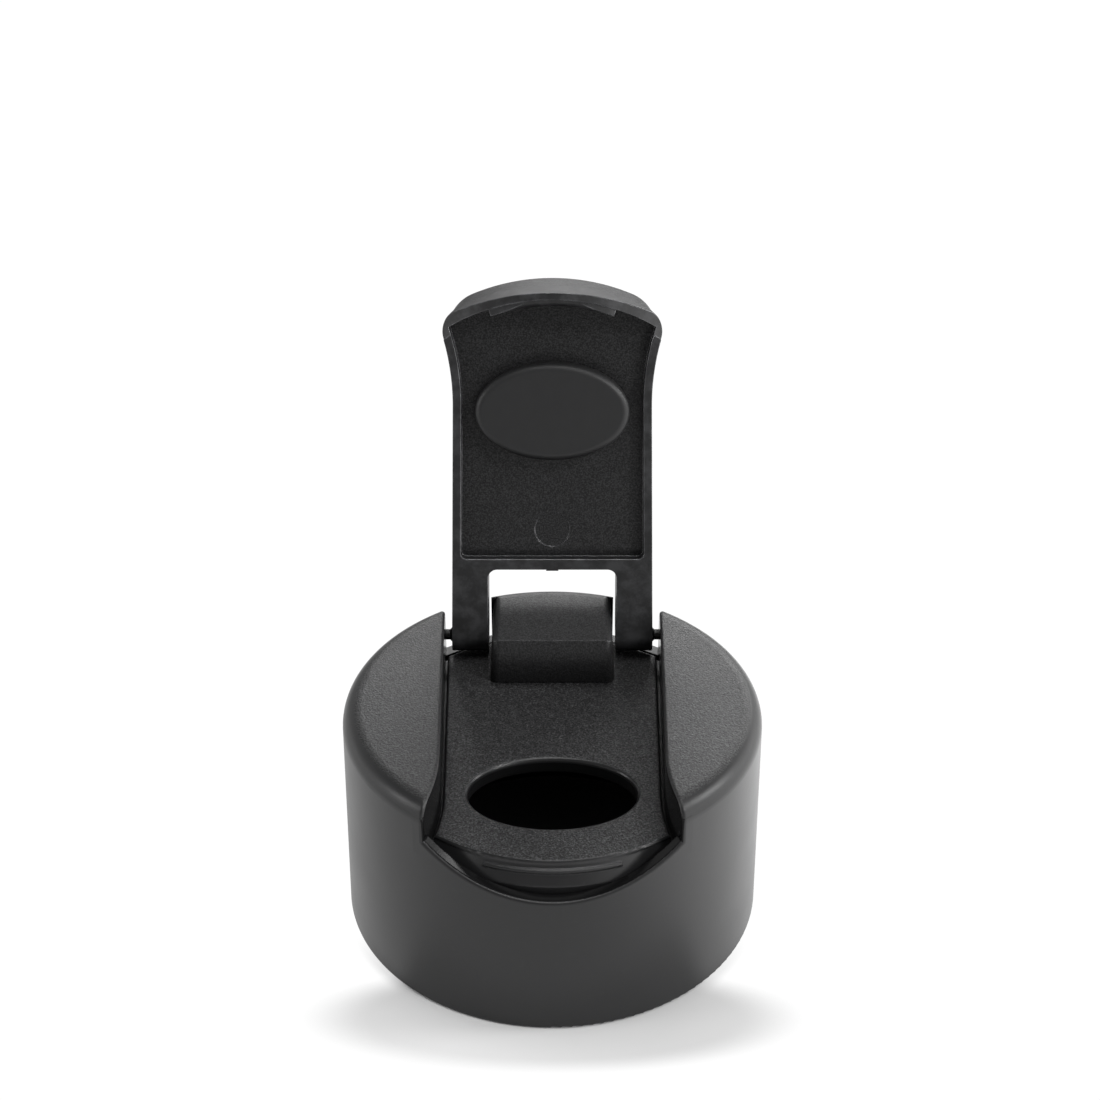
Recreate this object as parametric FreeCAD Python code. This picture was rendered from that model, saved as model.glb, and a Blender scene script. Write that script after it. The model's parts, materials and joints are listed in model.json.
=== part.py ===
import FreeCAD, Part
import math
import os

# Flip-top drinking cap for a wide-neck bottle, lid open as it stands in use.
# Millimetres. Z is the cap's axis, the open end of the cap is at Z = 0 and the
# drinking side faces -Y. The hinge runs along X behind the axis.

# Outer shell: round skirt, flat roof and a shoulder between them
BODY_HEIGHT = 29.8
SHOULDER_RADIUS = 26.0
SKIRT_FLARE = 0.4
SHOULDER_ROUND = 2.4
RIM_ROUND = 0.4
SHELL_WALL = 1.6
ROOF_THICKNESS = 1.8

# Channel that runs through the roof and holds the closed lid
CHANNEL_REAR_HALF = 14.2
CHANNEL_WAIST_HALF = 13.45
CHANNEL_WAIST_INSET = 14.5
CHANNEL_FLARE_RADIUS = 30.5
CHANNEL_WALL = 1.5
CHANNEL_EDGE_ROUND = 0.4

# Cut-outs in the skirt: an arc for the lip in front, a sill for the arms behind
FRONT_CUT_DEPTH = 10.0
FRONT_CUT_RADIUS = 25.0
REAR_SILL_DEPTH = 7.4

# Hinge
PIN_INSET = 6.2
PIN_DEPTH = 3.85
PIN_RADIUS = 0.7
PIN_CLEARANCE = 0.06
PIN_ENGAGEMENT = 1.0
PIN_END_GAP = 0.15
PIN_ROOT_RADIUS = 1.05
PIN_ROOT_LENGTH = 0.35
KNUCKLE_RADIUS = 2.15
OPEN_ANGLE = 110.0

# Block between the arms
BLOCK_HALF = 8.15
BLOCK_NOSE_RADIUS = 8.0
BLOCK_DRAFT = 0.4
BLOCK_EDGE_ROUND = 1.0

# Spout base: threaded inner cap with the drinking floor on top
FLOOR_DEPTH = 6.3
FLOOR_EDGE_ROUND = 0.4
FLOOR_LIP_HEIGHT = 0.7
FLOOR_LIP_OVERHANG = 0.25
PAD_STEP = 0.8
PAD_SEAM = 0.25
APRON_RUN = 1.15
APRON_DROP = 2.9
INNER_CAP_GAP = 0.25
INNER_ROOF_THICKNESS = 2.0
NECK_WALL = 1.95
COLLAR_GAP = 0.12
COLLAR_LOW_Z = 0.8
COLLAR_HEIGHT = 1.4

# Drinking opening
SPOUT_INSET = 15.6
SPOUT_HALF_LENGTH = 10.3
SPOUT_HALF_WIDTH = 6.6
SPOUT_RIM_ROUND = 0.5

# Neck gasket under the inner roof, and the groove that holds its edge
GASKET_WIDTH = 4.65
GASKET_THICKNESS = 1.5
GASKET_SIDE_GAP = 0.3
GASKET_GROOVE_DEPTH = 0.35
GASKET_GROOVE_LEAD = 0.2

# Flip lid, sizes as it lies closed
LID_GAP_AT_HINGE = 0.95
LID_GAP = 0.6
LIP_FLARE = 1.2
LIP_TOP_ROUND = 1.2
LIP_THICKNESS = 0.9
LIP_GAP = 0.3
LID_CORNER_ROUND = 6.0
LIP_CORNER_ROUND = 0.5
WINDOW_HALF = 8.45
WINDOW_REACH = 9.3
WINDOW_CORNER_ROUND = 1.2
BORDER_BAR_WIDTH = 1.4
RIB_WIDTH = 1.1
RECESS_DEPTH = 2.0
RECESS_CORNER_ROUND = 0.8
EJECTOR_MARK_RADIUS = 2.3
EJECTOR_MARK_DEPTH = 0.12
EJECTOR_MARK_REACH = 14.3
GATE_MARK_HALF = 0.8
GATE_MARK_HEIGHT = 0.15

# Latch: a ridge on the apron and a bead inside the lip
LATCH_HALF_WIDTH = 8.1
LATCH_RIDGE_DROP = 1.25
LATCH_RIDGE_ROUND = 0.3
LATCH_BEAD_DROP = 0.8
LATCH_BEAD_INSET = 0.2
LATCH_GAP = 0.55

# Soft plug in the lid
PLUG_SIDE_GAP = 0.3
PLUG_BELOW_FLOOR = 0.7
PLUG_EDGE_ROUND = 0.9

# Margin by which cutting bodies run past what they cut
PAST = 5.0

Z_AXIS = FreeCAD.Vector(0, 0, 1)
X_AXIS = FreeCAD.Vector(1, 0, 0)
ORIGIN = FreeCAD.Vector(0, 0, 0)

# Values that follow from the sizes above
BASE_RADIUS = SHOULDER_RADIUS + SKIRT_FLARE
FAR = BASE_RADIUS + PAST
TOP = BODY_HEIGHT + PAST
CHANNEL_WAIST_Y = CHANNEL_WAIST_INSET - SHOULDER_RADIUS
FRONT_CUT_LOW_Z = BODY_HEIGHT - FRONT_CUT_DEPTH
REAR_SILL_Z = BODY_HEIGHT - REAR_SILL_DEPTH
PIN_Y = SHOULDER_RADIUS - PIN_INSET
PIN_Z = BODY_HEIGHT - PIN_DEPTH
FLOOR_Z = BODY_HEIGHT - FLOOR_DEPTH
LEDGE_Z = FLOOR_Z - PAD_STEP
APRON_FOOT_Z = FLOOR_Z - APRON_DROP
INNER_CAP_RADIUS = SHOULDER_RADIUS - SHELL_WALL - INNER_CAP_GAP
FLOOR_RADIUS = INNER_CAP_RADIUS - APRON_RUN
NECK_BORE_RADIUS = INNER_CAP_RADIUS - NECK_WALL
SPOUT_Y = SPOUT_INSET - SHOULDER_RADIUS
LIP_FOOT_RADIUS = SHOULDER_RADIUS
LIP_TOP_RADIUS = SHOULDER_RADIUS + LIP_FLARE
LATCH_RIDGE_Z = FLOOR_Z - LATCH_RIDGE_DROP
INNER_ROOF_Z = FLOOR_Z - INNER_ROOF_THICKNESS
LID_UNDER_Z = PIN_Z - KNUCKLE_RADIUS
LIP_INNER_RADIUS = LIP_FOOT_RADIUS - LIP_THICKNESS
RECESS_ROOF_Z = LID_UNDER_Z + RECESS_DEPTH
GROOVE_RADIUS = NECK_BORE_RADIUS + GASKET_GROOVE_DEPTH
GROOVE_LOW_Z = INNER_ROOF_Z - GASKET_THICKNESS - GASKET_GROOVE_LEAD


def plan(x, y, z=0.0):
    """A point given by its place in plan, at height z."""
    return FreeCAD.Vector(x, y, z)


def section(r, z):
    """A point of a turned section."""
    return FreeCAD.Vector(r, 0, z)


def side(y, z):
    """A point of the side view through the axis."""
    return FreeCAD.Vector(0, y, z)


def front(x, z, y=0.0):
    """A point of the front view at depth y."""
    return FreeCAD.Vector(x, y, z)


def face(start, *steps):
    """A closed face. A step is the next corner, or (via, end) for an arc."""
    edges = []
    here = start
    for step in steps:
        if isinstance(step, tuple):
            via, end = step
            edges.append(Part.Arc(here, via, end).toShape())
        else:
            end = step
            edges.append(Part.makeLine(here, end))
        here = end
    if here.distanceToPoint(start) > 1e-6:
        edges.append(Part.makeLine(here, start))
    return Part.Face(Part.Wire(edges))


def turned(outline):
    """A solid of revolution about the cap's axis."""
    return outline.revolve(ORIGIN, Z_AXIS, 360)


def corner_arc(centre_a, centre_b, radius, from_deg, to_deg):
    """Via and end values of an arc in a two-coordinate view."""
    mid = math.radians((from_deg + to_deg) / 2)
    end = math.radians(to_deg)
    via_pair = (centre_a + radius * math.cos(mid), centre_b + radius * math.sin(mid))
    end_pair = (centre_a + radius * math.cos(end), centre_b + radius * math.sin(end))
    return via_pair, end_pair


def rounded(shape, radius, chosen):
    """The shape with a fillet on each edge that the test picks."""
    edges = [edge for edge in shape.Edges if chosen(edge)]
    return shape.makeFillet(radius, edges)


def height_of(edge):
    """Lowest and highest Z of an edge."""
    box = edge.BoundBox
    return box.ZMin, box.ZMax


def lies_at(edge, z):
    """True for an edge that lies level at height z."""
    low, high = height_of(edge)
    return abs(low - z) < 1e-4 and abs(high - z) < 1e-4


def flare_half(y, inset):
    """Half-width of the channel's flared front at y."""
    reach = CHANNEL_FLARE_RADIUS + inset
    centre = CHANNEL_WAIST_HALF + CHANNEL_FLARE_RADIUS
    return centre - math.sqrt(reach ** 2 - (y - CHANNEL_WAIST_Y) ** 2)


def channel_plan(inset_hinge, inset, rear_y, front_y):
    """Plan of the channel, moved in by one gap at the hinge and one ahead of it."""
    waist = CHANNEL_WAIST_HALF - inset
    hinge = CHANNEL_REAR_HALF - inset_hinge
    slope = (hinge - waist) / (PIN_Y - CHANNEL_WAIST_Y)
    rear = waist + slope * (rear_y - CHANNEL_WAIST_Y)
    mid_y = (CHANNEL_WAIST_Y + front_y) / 2
    mouth = flare_half(front_y, inset)
    bend = flare_half(mid_y, inset)
    return face(
        plan(rear, rear_y),
        plan(waist, CHANNEL_WAIST_Y),
        (plan(bend, mid_y), plan(mouth, front_y)),
        plan(-mouth, front_y),
        (plan(-bend, mid_y), plan(-waist, CHANNEL_WAIST_Y)),
        plan(-rear, rear_y),
    )


def channel_prism(inset_hinge, inset, low, high, rear_y=FAR, front_y=-FAR):
    """The channel's plan raised from one height to another."""
    outline = channel_plan(inset_hinge, inset, rear_y, front_y)
    outline.translate(Z_AXIS * low)
    return outline.extrude(Z_AXIS * (high - low))


def body_skin():
    """The full outer form of the cap, without channel or cut-outs."""
    turn_a = SHOULDER_RADIUS - SHOULDER_ROUND
    turn_b = BODY_HEIGHT - SHOULDER_ROUND
    shoulder_via, shoulder_end = corner_arc(turn_a, turn_b, SHOULDER_ROUND, 0, 90)
    rim_via, rim_end = corner_arc(BASE_RADIUS - RIM_ROUND, RIM_ROUND, RIM_ROUND, 270, 360)
    return turned(face(
        section(0, 0),
        section(BASE_RADIUS - RIM_ROUND, 0),
        (section(*rim_via), section(*rim_end)),
        section(SHOULDER_RADIUS, turn_b),
        (section(*shoulder_via), section(*shoulder_end)),
        section(0, BODY_HEIGHT),
    ))


def body_cavity():
    """The hollow inside the skirt and under the roof."""
    inner_round = max(SHOULDER_ROUND - SHELL_WALL, RIM_ROUND)
    ceiling = BODY_HEIGHT - ROOF_THICKNESS
    wall_top = SHOULDER_RADIUS - SHELL_WALL
    via, end = corner_arc(wall_top - inner_round, ceiling - inner_round, inner_round, 0, 90)
    return turned(face(
        section(0, -PAST),
        section(BASE_RADIUS - SHELL_WALL, -PAST),
        section(BASE_RADIUS - SHELL_WALL, 0),
        section(wall_top, ceiling - inner_round),
        (section(*via), section(*end)),
        section(0, ceiling),
    ))


def above_lip_line(drop):
    """Everything above the arc of the front cut-out, moved by a gap."""
    low = FRONT_CUT_LOW_Z + drop
    centre_z = low + FRONT_CUT_RADIUS
    outline = face(
        front(-FRONT_CUT_RADIUS, centre_z, -FAR),
        (front(0, low, -FAR), front(FRONT_CUT_RADIUS, centre_z, -FAR)),
        front(FRONT_CUT_RADIUS, centre_z + PAST, -FAR),
        front(-FRONT_CUT_RADIUS, centre_z + PAST, -FAR),
    )
    return outline.extrude(FreeCAD.Vector(0, FAR + CHANNEL_WAIST_Y, 0))


def hinge_block():
    """Block that fills the lid's window, with a nose turned about the hinge."""
    low_drop = FLOOR_Z - PIN_Z
    foot_y = PIN_Y - math.sqrt(BLOCK_NOSE_RADIUS ** 2 - low_drop ** 2)
    crest_y = PIN_Y - math.sqrt(BLOCK_NOSE_RADIUS ** 2 - PIN_DEPTH ** 2)
    outline = face(
        side(foot_y, FLOOR_Z),
        (side(PIN_Y - BLOCK_NOSE_RADIUS, PIN_Z), side(crest_y, BODY_HEIGHT)),
        side(FAR, BODY_HEIGHT),
        side(FAR, FLOOR_Z),
    )
    outline.translate(X_AXIS * -FAR)
    top_half = BLOCK_HALF - BLOCK_DRAFT
    drafted = face(
        front(-BLOCK_HALF, FLOOR_Z, -FAR),
        front(BLOCK_HALF, FLOOR_Z, -FAR),
        front(top_half, BODY_HEIGHT, -FAR),
        front(-top_half, BODY_HEIGHT, -FAR),
    ).extrude(FreeCAD.Vector(0, 2 * FAR, 0))
    block = outline.extrude(X_AXIS * (2 * FAR)).common(drafted)

    def long_edge(edge):
        """True for the nose's and the top's edges along the block's sides."""
        box = edge.BoundBox
        on_side = box.XLength < BLOCK_DRAFT + 1e-4
        at_back = box.YMin > FAR - 1e-4
        return on_side and not at_back and not lies_at(edge, FLOOR_Z)

    return rounded(block, BLOCK_EDGE_ROUND, long_edge)


def outer_shell():
    """Skirt, roof lobes, channel walls and hinge block, moulded as one."""
    skin = body_skin()
    cavity = body_cavity()
    walls = channel_prism(-CHANNEL_WALL, -CHANNEL_WALL, LEDGE_Z, TOP)
    blank = skin.cut(cavity).fuse(walls.common(skin))
    inner = Part.makeCylinder(SHOULDER_RADIUS - SHELL_WALL, TOP)
    through = channel_prism(0, 0, 0, TOP)
    well = through.common(inner)
    mouth = through.common(above_lip_line(0))
    rear_box = Part.makeBox(2 * FAR, FAR, TOP, FreeCAD.Vector(-FAR, 0, REAR_SILL_Z))
    block_box = Part.makeBox(2 * BLOCK_HALF, 2 * FAR, TOP, FreeCAD.Vector(-BLOCK_HALF, -FAR, 0))
    slots = through.common(rear_box).cut(block_box)
    shell = blank.cut(well).cut(mouth).cut(slots)
    mouth_half = flare_half(-math.sqrt(SHOULDER_RADIUS ** 2 - CHANNEL_REAR_HALF ** 2), 0)

    def channel_rim(edge):
        """True for the edges of the channel and the front cut-out on the outer skin."""
        middle = edge.valueAt(sum(edge.ParameterRange) / 2)
        off_skin = skin.Shells[0].distToShape(Part.Vertex(middle))[0] > 1e-3
        if off_skin or abs(middle.x) > mouth_half or lies_at(edge, LEDGE_Z):
            return False
        return lies_at(edge, BODY_HEIGHT) or (middle.y < 0 and middle.z > APRON_FOOT_Z - PAST)

    shell = rounded(shell, CHANNEL_EDGE_ROUND, channel_rim)
    shell = shell.fuse(hinge_block().common(skin)).removeSplitter()
    for way in (-1, 1):
        shell = shell.cut(pin_bore(way))
    return shell


def pin_bore(way):
    """Blind bore for one hinge stub, in the channel wall on one side."""
    depth = PIN_ENGAGEMENT + PIN_END_GAP
    start = FreeCAD.Vector(way * (CHANNEL_REAR_HALF - PIN_END_GAP), PIN_Y, PIN_Z)
    return Part.makeCylinder(
        PIN_RADIUS + PIN_CLEARANCE, depth + PIN_END_GAP, start, X_AXIS * way)


def apron_radius(z):
    """Radius of the sloping apron at height z."""
    run = (FLOOR_RADIUS - FLOOR_LIP_OVERHANG - INNER_CAP_RADIUS) / (FLOOR_Z - APRON_FOOT_Z)
    return INNER_CAP_RADIUS + run * (z - APRON_FOOT_Z)


def inner_cap_blank(top):
    """Inner cap turned up to a given height, still solid inside."""
    collar = BASE_RADIUS - SHELL_WALL - COLLAR_GAP
    collar -= (BASE_RADIUS - SHOULDER_RADIUS) * (COLLAR_LOW_Z + COLLAR_HEIGHT) / BODY_HEIGHT
    return turned(face(
        section(0, 0),
        section(INNER_CAP_RADIUS, 0),
        section(INNER_CAP_RADIUS, COLLAR_LOW_Z),
        section(collar, COLLAR_LOW_Z),
        section(collar, COLLAR_LOW_Z + COLLAR_HEIGHT),
        section(INNER_CAP_RADIUS, COLLAR_LOW_Z + COLLAR_HEIGHT),
        section(INNER_CAP_RADIUS, APRON_FOOT_Z),
        section(apron_radius(top), top),
        section(0, top),
    ))


def floor_slab():
    """Disc of the drinking floor, which stands a little proud of the apron."""
    low = FLOOR_Z - FLOOR_LIP_HEIGHT
    return Part.makeCylinder(FLOOR_RADIUS, FLOOR_LIP_HEIGHT, plan(0, 0, low))


def latch_bar(radius, z, bar_round):
    """A round bar bent about the axis, across the front of the cap."""
    half_angle = math.degrees(math.asin(LATCH_HALF_WIDTH / radius))
    start = math.radians(270 - half_angle)
    centre = FreeCAD.Vector(radius * math.cos(start), radius * math.sin(start), z)
    across = FreeCAD.Vector(-math.sin(start), math.cos(start), 0)
    disc = Part.Face(Part.Wire(Part.makeCircle(bar_round, centre, across)))
    return disc.revolve(ORIGIN, Z_AXIS, 2 * half_angle)


def oval(half_length, half_width, low, high):
    """An upright oval solid about the drinking opening's centre."""
    curve = Part.Ellipse(FreeCAD.Vector(0, SPOUT_Y, low), half_length, half_width)
    return Part.Face(Part.Wire(curve.toShape())).extrude(Z_AXIS * (high - low))


def spout_base():
    """Threaded inner cap with the raised drinking floor, apron and opening."""
    pad = inner_cap_blank(FLOOR_Z).fuse(floor_slab()).removeSplitter()
    pad = pad.common(channel_prism(PAD_SEAM, PAD_SEAM, 0, TOP))
    pad = rounded(pad, FLOOR_EDGE_ROUND, lambda edge: lies_at(edge, FLOOR_Z))
    base = inner_cap_blank(LEDGE_Z).fuse(pad)
    base = base.cut(Part.makeCylinder(NECK_BORE_RADIUS, GROOVE_LOW_Z + PAST, plan(0, 0, -PAST)))
    base = base.cut(Part.makeCylinder(
        GROOVE_RADIUS, INNER_ROOF_Z - GROOVE_LOW_Z, plan(0, 0, GROOVE_LOW_Z)))
    base = base.cut(oval(SPOUT_HALF_LENGTH, SPOUT_HALF_WIDTH, INNER_ROOF_Z - PAST, TOP))
    base = base.removeSplitter()

    def spout_edge(edge):
        """True for the upper edge of the drinking opening."""
        across = edge.BoundBox.XLength
        return lies_at(edge, FLOOR_Z) and abs(across - 2 * SPOUT_HALF_LENGTH) < 1e-3

    base = rounded(base, SPOUT_RIM_ROUND, spout_edge)
    return base.fuse(latch_bar(apron_radius(LATCH_RIDGE_Z), LATCH_RIDGE_Z, LATCH_RIDGE_ROUND))


def neck_gasket():
    """Flat ring that seals the bottle's neck against the inner roof."""
    low = INNER_ROOF_Z - GASKET_THICKNESS
    outer_radius = GROOVE_RADIUS - GASKET_SIDE_GAP
    outer = Part.makeCylinder(outer_radius, GASKET_THICKNESS, plan(0, 0, low))
    return outer.cut(Part.makeCylinder(outer_radius - GASKET_WIDTH, TOP))


def lid_round():
    """Round form that gives the lid its flat top and its flared front."""
    foot_z = FRONT_CUT_LOW_Z + LIP_GAP
    edge_z = BODY_HEIGHT - LIP_TOP_ROUND
    via, end = corner_arc(LIP_TOP_RADIUS - LIP_TOP_ROUND, edge_z, LIP_TOP_ROUND, 0, 90)
    return turned(face(
        section(0, foot_z),
        section(LIP_FOOT_RADIUS, foot_z),
        section(LIP_TOP_RADIUS, edge_z),
        (section(*via), section(*end)),
        section(0, BODY_HEIGHT),
    ))


def corner_rounded(form, way):
    """The lid's form with one front corner rounded, more so towards the top."""
    def front_corner(edge):
        """True for the upright edge where this side meets the front."""
        box = edge.BoundBox
        upright = box.ZLength > PAST and box.XLength < PAST
        return upright and box.YMax < CHANNEL_WAIST_Y and box.XMin * way > 0

    corner = next(edge for edge in form.Edges if front_corner(edge))
    start, end = corner.Vertexes[0].Z, corner.Vertexes[-1].Z
    rounds = (LIP_CORNER_ROUND, LID_CORNER_ROUND)
    if start > end:
        rounds = rounds[::-1]
    return form.makeFillet(*rounds, [corner])


def skirt_keep_out():
    """Space over the skirt's front wall that the closed lid leaves to the skirt."""
    ahead = Part.makeBox(
        2 * FAR, FAR + CHANNEL_WAIST_Y, TOP, FreeCAD.Vector(-FAR, -FAR, 0))
    within = Part.makeCylinder(SHOULDER_RADIUS - SHELL_WALL - LIP_GAP, TOP)
    return ahead.cut(within).cut(above_lip_line(LIP_GAP))


def heel_outline():
    """Side view of the lid: round knuckle below, larger round heel above."""
    heel_centre = PIN_Y - (PIN_DEPTH - KNUCKLE_RADIUS)
    heel_via, heel_end = corner_arc(heel_centre, PIN_Z, PIN_DEPTH, 0, 90)
    low_via, low_end = corner_arc(PIN_Y, PIN_Z, KNUCKLE_RADIUS, -90, 0)
    outline = face(
        side(-FAR, 0),
        side(PIN_Y, 0),
        side(PIN_Y, LID_UNDER_Z),
        (side(*low_via), side(*low_end)),
        (side(*heel_via), side(*heel_end)),
        side(-FAR, BODY_HEIGHT),
    )
    outline.translate(X_AXIS * -FAR)
    return outline.extrude(X_AXIS * (2 * FAR))


def lid_window():
    """Opening between the arms, through which the hinge block stands."""
    edge_y = PIN_Y - WINDOW_REACH
    bend = edge_y + WINDOW_CORNER_ROUND
    inner = WINDOW_HALF - WINDOW_CORNER_ROUND
    right_via, right_end = corner_arc(inner, bend, WINDOW_CORNER_ROUND, 0, -90)
    left_via, left_end = corner_arc(-inner, bend, WINDOW_CORNER_ROUND, -90, -180)
    outline = face(
        plan(WINDOW_HALF, FAR),
        plan(WINDOW_HALF, bend),
        (plan(*right_via), plan(*right_end)),
        plan(-inner, edge_y),
        (plan(*left_via), plan(*left_end)),
        plan(-WINDOW_HALF, FAR),
    )
    return outline.extrude(Z_AXIS * TOP)


def lid_recess():
    """Shallow recess in the lid's underside, inside the border rib."""
    rear_y = PIN_Y - WINDOW_REACH - BORDER_BAR_WIDTH
    recess = channel_prism(
        LID_GAP_AT_HINGE + RIB_WIDTH, LID_GAP + RIB_WIDTH, 0, RECESS_ROOF_Z, rear_y=rear_y)

    def rear_corner(edge):
        """True for the upright edges at the recess's rear corners."""
        box = edge.BoundBox
        return box.YMin > rear_y - 1e-4 and box.ZLength > RECESS_DEPTH

    recess = rounded(recess, RECESS_CORNER_ROUND, rear_corner)
    return recess.common(Part.makeCylinder(LIP_INNER_RADIUS, TOP))


def hinge_stub(way):
    """Moulded stub on one arm, with a cone at its root."""
    arm_side = CHANNEL_REAR_HALF - LID_GAP_AT_HINGE
    inside = (arm_side + WINDOW_HALF) / 2
    reach = CHANNEL_REAR_HALF + PIN_ENGAGEMENT - inside
    start = FreeCAD.Vector(way * inside, PIN_Y, PIN_Z)
    stub = Part.makeCylinder(PIN_RADIUS, reach, start, X_AXIS * way)
    root = Part.makeCone(
        PIN_ROOT_RADIUS, PIN_RADIUS, PIN_ROOT_LENGTH,
        FreeCAD.Vector(way * arm_side, PIN_Y, PIN_Z), X_AXIS * way)
    return stub.fuse(root)


def opened(shape):
    """A piece of the closed lid, turned to the open position."""
    shape.rotate(FreeCAD.Vector(0, PIN_Y, PIN_Z), X_AXIS, -OPEN_ANGLE)
    return shape


def flip_lid():
    """Lid with lip, border rib, window, arms, knuckles and stubs, as one moulding."""
    form = channel_prism(LID_GAP_AT_HINGE, LID_GAP, 0, TOP).common(lid_round())

    for way in (-1, 1):
        form = corner_rounded(form, way)
    form = form.cut(skirt_keep_out())
    plate = form.common(Part.makeBox(
        2 * FAR, 2 * FAR, TOP, FreeCAD.Vector(-FAR, -FAR, LID_UNDER_Z)))
    lip = form.common(above_lip_line(LIP_GAP)).cut(Part.makeCylinder(LIP_INNER_RADIUS, TOP))
    lid = plate.fuse(lip).common(heel_outline())
    lid = lid.cut(lid_window()).cut(lid_recess())
    ridge_tip = apron_radius(LATCH_RIDGE_Z) + LATCH_RIDGE_ROUND
    bead_round = LIP_INNER_RADIUS - ridge_tip - LATCH_GAP
    bead = latch_bar(LIP_INNER_RADIUS, LATCH_RIDGE_Z - LATCH_BEAD_DROP, bead_round)
    lid = lid.fuse(bead.common(above_lip_line(LIP_GAP + LATCH_BEAD_INSET)).common(form))
    mark_y = PIN_Y - EJECTOR_MARK_REACH
    lid = lid.cut(Part.makeCylinder(
        EJECTOR_MARK_RADIUS, EJECTOR_MARK_DEPTH + RECESS_DEPTH,
        plan(0, mark_y, RECESS_ROOF_Z - RECESS_DEPTH)))
    gate = Part.makeBox(
        2 * GATE_MARK_HALF, 2 * GATE_MARK_HEIGHT, RECESS_DEPTH / 2,
        plan(-GATE_MARK_HALF, PIN_Y - WINDOW_REACH - GATE_MARK_HEIGHT, LID_UNDER_Z))
    lid = lid.fuse(gate)
    for way in (-1, 1):
        lid = lid.fuse(hinge_stub(way))
    return opened(lid)


def lid_plug():
    """Soft oval plug on the lid's underside, which closes the drinking opening."""
    face_z = FLOOR_Z - PLUG_BELOW_FLOOR
    plug = oval(
        SPOUT_HALF_LENGTH - PLUG_SIDE_GAP, SPOUT_HALF_WIDTH - PLUG_SIDE_GAP,
        face_z, RECESS_ROOF_Z)
    plug = rounded(plug, PLUG_EDGE_ROUND, lambda edge: lies_at(edge, face_z))
    return opened(plug)


NODES = {
    "outer_shell": outer_shell,
    "spout_base": spout_base,
    "neck_gasket": neck_gasket,
    "flip_lid": flip_lid,
    "lid_plug": lid_plug,
}

os.makedirs("parts", exist_ok=True)
for name, make in NODES.items():
    shape = make()
    shape.exportStep(os.path.join("parts", name + ".step"))
    print(name, len(shape.Solids), round(shape.Volume, 1), shape.isValid())
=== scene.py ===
"""Flip-top drinking cap with its lid open: finishes, added mouldings, light and camera.

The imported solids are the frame. This script dresses them and adds the neck
thread, the sealing beads of the gasket and the studio around them.
"""
import json
import logging
import math
from dataclasses import dataclass
from enum import Enum

import bpy
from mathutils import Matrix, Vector


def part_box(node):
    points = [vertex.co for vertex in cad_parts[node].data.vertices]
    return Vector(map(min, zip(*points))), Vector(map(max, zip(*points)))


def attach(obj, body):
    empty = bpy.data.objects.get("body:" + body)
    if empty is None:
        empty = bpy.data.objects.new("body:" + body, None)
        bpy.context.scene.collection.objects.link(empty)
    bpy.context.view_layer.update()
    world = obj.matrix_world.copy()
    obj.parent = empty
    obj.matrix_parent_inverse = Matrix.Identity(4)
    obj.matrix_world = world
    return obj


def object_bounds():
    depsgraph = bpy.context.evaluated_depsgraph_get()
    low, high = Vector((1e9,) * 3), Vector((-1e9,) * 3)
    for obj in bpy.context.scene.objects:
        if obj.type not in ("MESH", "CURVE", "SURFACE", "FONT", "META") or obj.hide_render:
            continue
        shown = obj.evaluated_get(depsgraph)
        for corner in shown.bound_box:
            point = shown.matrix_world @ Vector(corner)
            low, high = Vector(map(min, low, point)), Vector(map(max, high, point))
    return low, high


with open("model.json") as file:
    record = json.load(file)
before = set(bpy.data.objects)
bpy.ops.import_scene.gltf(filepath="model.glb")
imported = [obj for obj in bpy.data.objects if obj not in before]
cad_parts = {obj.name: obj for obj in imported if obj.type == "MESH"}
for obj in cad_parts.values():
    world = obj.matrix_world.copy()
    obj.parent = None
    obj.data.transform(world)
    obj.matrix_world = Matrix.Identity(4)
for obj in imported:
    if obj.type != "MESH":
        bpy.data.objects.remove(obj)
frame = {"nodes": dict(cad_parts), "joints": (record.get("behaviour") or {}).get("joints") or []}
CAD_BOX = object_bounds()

MM = 0.001

log = logging.getLogger("drinking_cap")

Colour = tuple[float, float, float]
Place = tuple[float, float, float]
Band = tuple[float, float]
Socket = bpy.types.NodeSocket
Reading = bpy.types.NodeSocket | float

RISE: Band = (0.0, 1.0)
FALL: Band = (1.0, 0.0)
WHITE = (1.0, 1.0, 1.0, 1.0)


class Slot(Enum):
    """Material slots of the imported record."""

    BASE = "base_plastic"
    GASKET = "gasket_rubber"


class GrainZone(Enum):
    """Which faces of a moulding carry the spark grain of its mould."""

    LEVEL_TOP = "level faces at the top"
    LID = "recess and outer face of the lid"


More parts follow.
